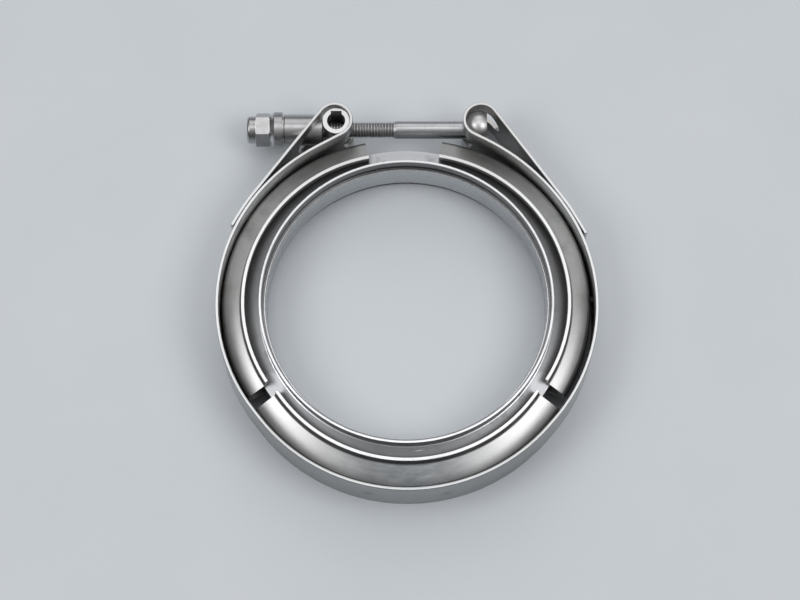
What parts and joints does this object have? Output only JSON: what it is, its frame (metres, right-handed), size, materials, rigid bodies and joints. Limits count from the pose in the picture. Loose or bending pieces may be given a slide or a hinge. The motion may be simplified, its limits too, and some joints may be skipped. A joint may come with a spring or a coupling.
{
  "type": "v band clamp",
  "caption": "V-band clamp on its mating weld flanges: looped strap, V-section retainer segments, T-bolt, trunnion, sleeve and lock nut, shown loosened.",
  "frame": {"origin": "on the flanges' common axis, in the plane where the two flanges meet", "axes": "+Z along the flanges' axis, +Y towards the T bolt, +X from the nut towards the T head"},
  "size_m": [0.1316, 0.1394, 0.0216],
  "materials": {
    "strap_steel": "satin rolled stainless",
    "retainer_steel": "matt rolled stainless",
    "turned_steel": "fine turned stainless",
    "bolt_steel": "drawn stainless",
    "tube_steel": "turned stainless",
    "fastener_steel": "turned stainless",
    "nut_steel": "turned stainless"
  },
  "bodies": {
    "clamp": {"strap": "strap_steel", "retainer_left": "retainer_steel", "retainer_right": "retainer_steel", "retainer_bottom": "retainer_steel", "flange_upper": "turned_steel", "flange_lower": "turned_steel", "t_bolt": "bolt_steel", "trunnion": "tube_steel", "sleeve": "fastener_steel"},
    "collar": {"collar": "fastener_steel"},
    "nut": {"nut": "nut_steel"}
  },
  "joints": [
    {"name": "nut_travel", "type": "slide", "parent": "clamp", "child": "collar", "axis": [1, 0, 0], "range_m": [-0.005, 0]},
    {"name": "nut_spin", "type": "hinge", "parent": "collar", "child": "nut", "pos_m": [-0.0523, 0.066, 0], "axis": [1, 0, 0], "range_deg": [-1800, 0]}
  ],
  "couplings": [
    {"joint": "nut_spin", "follows": "nut_travel", "rad_per_m": 6282.6}
  ]
}
